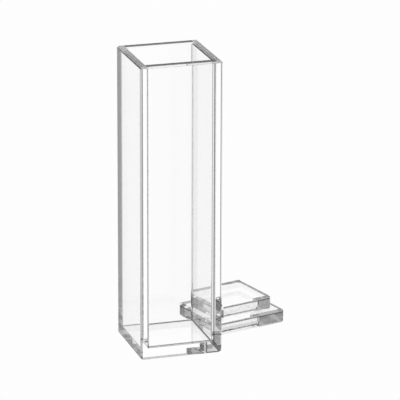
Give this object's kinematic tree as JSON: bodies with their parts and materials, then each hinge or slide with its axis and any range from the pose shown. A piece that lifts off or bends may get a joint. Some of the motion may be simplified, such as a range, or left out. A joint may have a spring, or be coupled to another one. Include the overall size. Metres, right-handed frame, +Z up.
{
  "type": "cuvette",
  "caption": "Clear square measuring cell, open at the top, with bevelled edges and a loose stepped lid lying plug-up beside it.",
  "frame": {"origin": "centre of the cell's foot, on the surface it stands on", "axes": "+Z up through the cell's open mouth, -Y towards the cell's front wall, +X towards the side where the lid lies"},
  "size_m": [0.0256, 0.0212, 0.045],
  "materials": {
    "cell_glass": "polished, with finely ground bevels",
    "lid_glass": "polished, with finely ground bevels"
  },
  "bodies": {
    "root": {"cell": "cell_glass", "lid": "lid_glass"}
  },
  "joints": []
}
